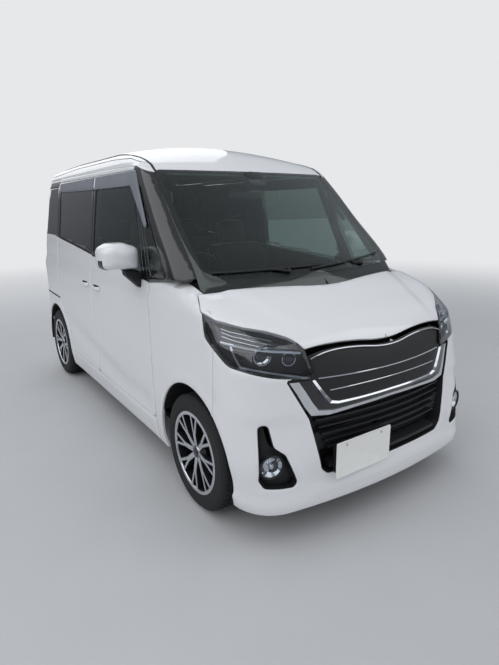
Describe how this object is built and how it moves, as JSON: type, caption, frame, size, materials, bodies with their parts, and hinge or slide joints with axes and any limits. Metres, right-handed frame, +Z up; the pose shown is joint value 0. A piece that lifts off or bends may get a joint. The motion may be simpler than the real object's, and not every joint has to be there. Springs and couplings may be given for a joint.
{
  "type": "kei car",
  "caption": "Tall kei-class wagon with hinged front doors, bonnet and tailgate, folding mirrors, steered front wheels and a furnished cabin.",
  "frame": {"origin": "on the ground, under the middle of the car", "axes": "+X forward, +Y to the car's left, +Z up"},
  "size_m": [3.39, 1.8652, 1.8262],
  "materials": {
    "body_paint": "pearl white gloss paint",
    "black_trim": "grained black",
    "chrome": "polished",
    "lamp_clear": "clear polycarbonate",
    "lamp_red": "clear-coated red",
    "plate_white": "blank white enamel",
    "glass_clear": "light green tint",
    "glass_dark": "privacy tint",
    "structure": "dark primer",
    "cast": "as cast",
    "steel": "dull",
    "tyre": "rubber",
    "alloy": "machined face",
    "seat_fabric": "woven",
    "interior": "fine grain"
  },
  "bodies": {
    "body": {"front_bumper": "body_paint", "front_grille": "black_trim", "chrome_frame": "chrome", "fog_lamps": "black_trim", "fender_right": "body_paint", "fender_left": "body_paint", "headlamp_right": "lamp_clear", "headlamp_left": "lamp_clear", "cowl": "black_trim", "plate_front": "plate_white", "body_side_right": "body_paint", "body_side_left": "body_paint", "roof_panel": "body_paint", "windscreen": "glass_clear", "slide_door_right": "body_paint", "slide_door_left": "body_paint", "slide_door_glass_right": "glass_dark", "slide_door_glass_left": "glass_dark", "fixed_glass_right": "glass_dark", "fixed_glass_left": "glass_dark", "rear_bumper": "body_paint", "tail_lamps": "lamp_red", "wipers": "black_trim", "antenna": "black_trim", "floor_pan": "structure", "front_suspension": "structure", "strut_towers": "structure", "rear_axle": "structure", "engine_block": "cast", "exhaust": "steel", "fuel_tank": "structure", "arch_liners": "black_trim", "dashboard": "interior", "front_seats": "seat_fabric", "rear_bench": "seat_fabric"},
    "bonnet": {"bonnet": "body_paint"},
    "front_door_right": {"front_door_right": "body_paint", "front_door_glass_right": "glass_clear"},
    "front_door_left": {"front_door_left": "body_paint", "front_door_glass_left": "glass_clear"},
    "mirror_right": {"mirror_right": "body_paint"},
    "mirror_left": {"mirror_left": "body_paint"},
    "tailgate": {"tailgate": "body_paint", "tailgate_glass": "glass_dark", "plate_rear": "plate_white"},
    "knuckle_right": {"knuckle_right": "cast"},
    "knuckle_left": {"knuckle_left": "cast"},
    "front_wheel_right": {"tyre_front_right": "tyre", "rim_front_right": "alloy"},
    "front_wheel_left": {"tyre_front_left": "tyre", "rim_front_left": "alloy"},
    "rear_wheel_right": {"tyre_rear_right": "tyre", "rim_rear_right": "alloy"},
    "rear_wheel_left": {"tyre_rear_left": "tyre", "rim_rear_left": "alloy"},
    "steering_wheel": {"steering_wheel": "interior"}
  },
  "joints": [
    {"name": "front_door_right_hinge", "type": "hinge", "parent": "body", "child": "front_door_right", "pos_m": [0.6615, -0.7175, 0.66], "axis": [0, 0, 1], "range_deg": [0, 65]},
    {"name": "front_door_left_hinge", "type": "hinge", "parent": "body", "child": "front_door_left", "pos_m": [0.6615, 0.7175, 0.66], "axis": [0, 0, 1], "range_deg": [-65, 0]},
    {"name": "mirror_right_fold", "type": "hinge", "parent": "front_door_right", "child": "mirror_right", "pos_m": [0.58, -0.776, 1.16], "axis": [0, 0, 1], "range_deg": [-60, 0]},
    {"name": "mirror_left_fold", "type": "hinge", "parent": "front_door_left", "child": "mirror_left", "pos_m": [0.58, 0.776, 1.16], "axis": [0, 0, 1], "range_deg": [0, 60]},
    {"name": "tailgate_hinge", "type": "hinge", "parent": "body", "child": "tailgate", "pos_m": [-1.4905, 0, 1.72515], "axis": [0, 1, 0], "range_deg": [0, 80]},
    {"name": "bonnet_hinge", "type": "hinge", "parent": "body", "child": "bonnet", "pos_m": [1.1375, 0, 1.02018], "axis": [0, -1, 0], "range_deg": [0, 50]},
    {"name": "steering_left", "type": "hinge", "parent": "body", "child": "knuckle_left", "pos_m": [1.1375, 0.625, 0.196], "axis": [0, -0.1792, 0.9838], "range_deg": [-35, 35]},
    {"name": "steering_right", "type": "hinge", "parent": "body", "child": "knuckle_right", "pos_m": [1.1375, -0.625, 0.196], "axis": [0, 0.1792, 0.9838], "range_deg": [-35, 35]},
    {"name": "steering_wheel_turn", "type": "hinge", "parent": "body", "child": "steering_wheel", "pos_m": [0.455, -0.34, 0.985], "axis": [-0.9063, 0, 0.4226], "range_deg": [-525, 525]},
    {"name": "front_wheel_left_spin", "type": "hinge", "parent": "knuckle_left", "child": "front_wheel_left", "pos_m": [1.1375, 0.65, 0.281], "axis": [0, 1, 0], "continuous": true},
    {"name": "front_wheel_right_spin", "type": "hinge", "parent": "knuckle_right", "child": "front_wheel_right", "pos_m": [1.1375, -0.65, 0.281], "axis": [0, 1, 0], "continuous": true},
    {"name": "rear_wheel_left_spin", "type": "hinge", "parent": "body", "child": "rear_wheel_left", "pos_m": [-1.2925, 0.65, 0.281], "axis": [0, 1, 0], "continuous": true},
    {"name": "rear_wheel_right_spin", "type": "hinge", "parent": "body", "child": "rear_wheel_right", "pos_m": [-1.2925, -0.65, 0.281], "axis": [0, 1, 0], "continuous": true}
  ],
  "couplings": [
    {"joint": "steering_right", "follows": "steering_left", "ratio": 1},
    {"joint": "steering_wheel_turn", "follows": "steering_left", "ratio": 15}
  ]
}
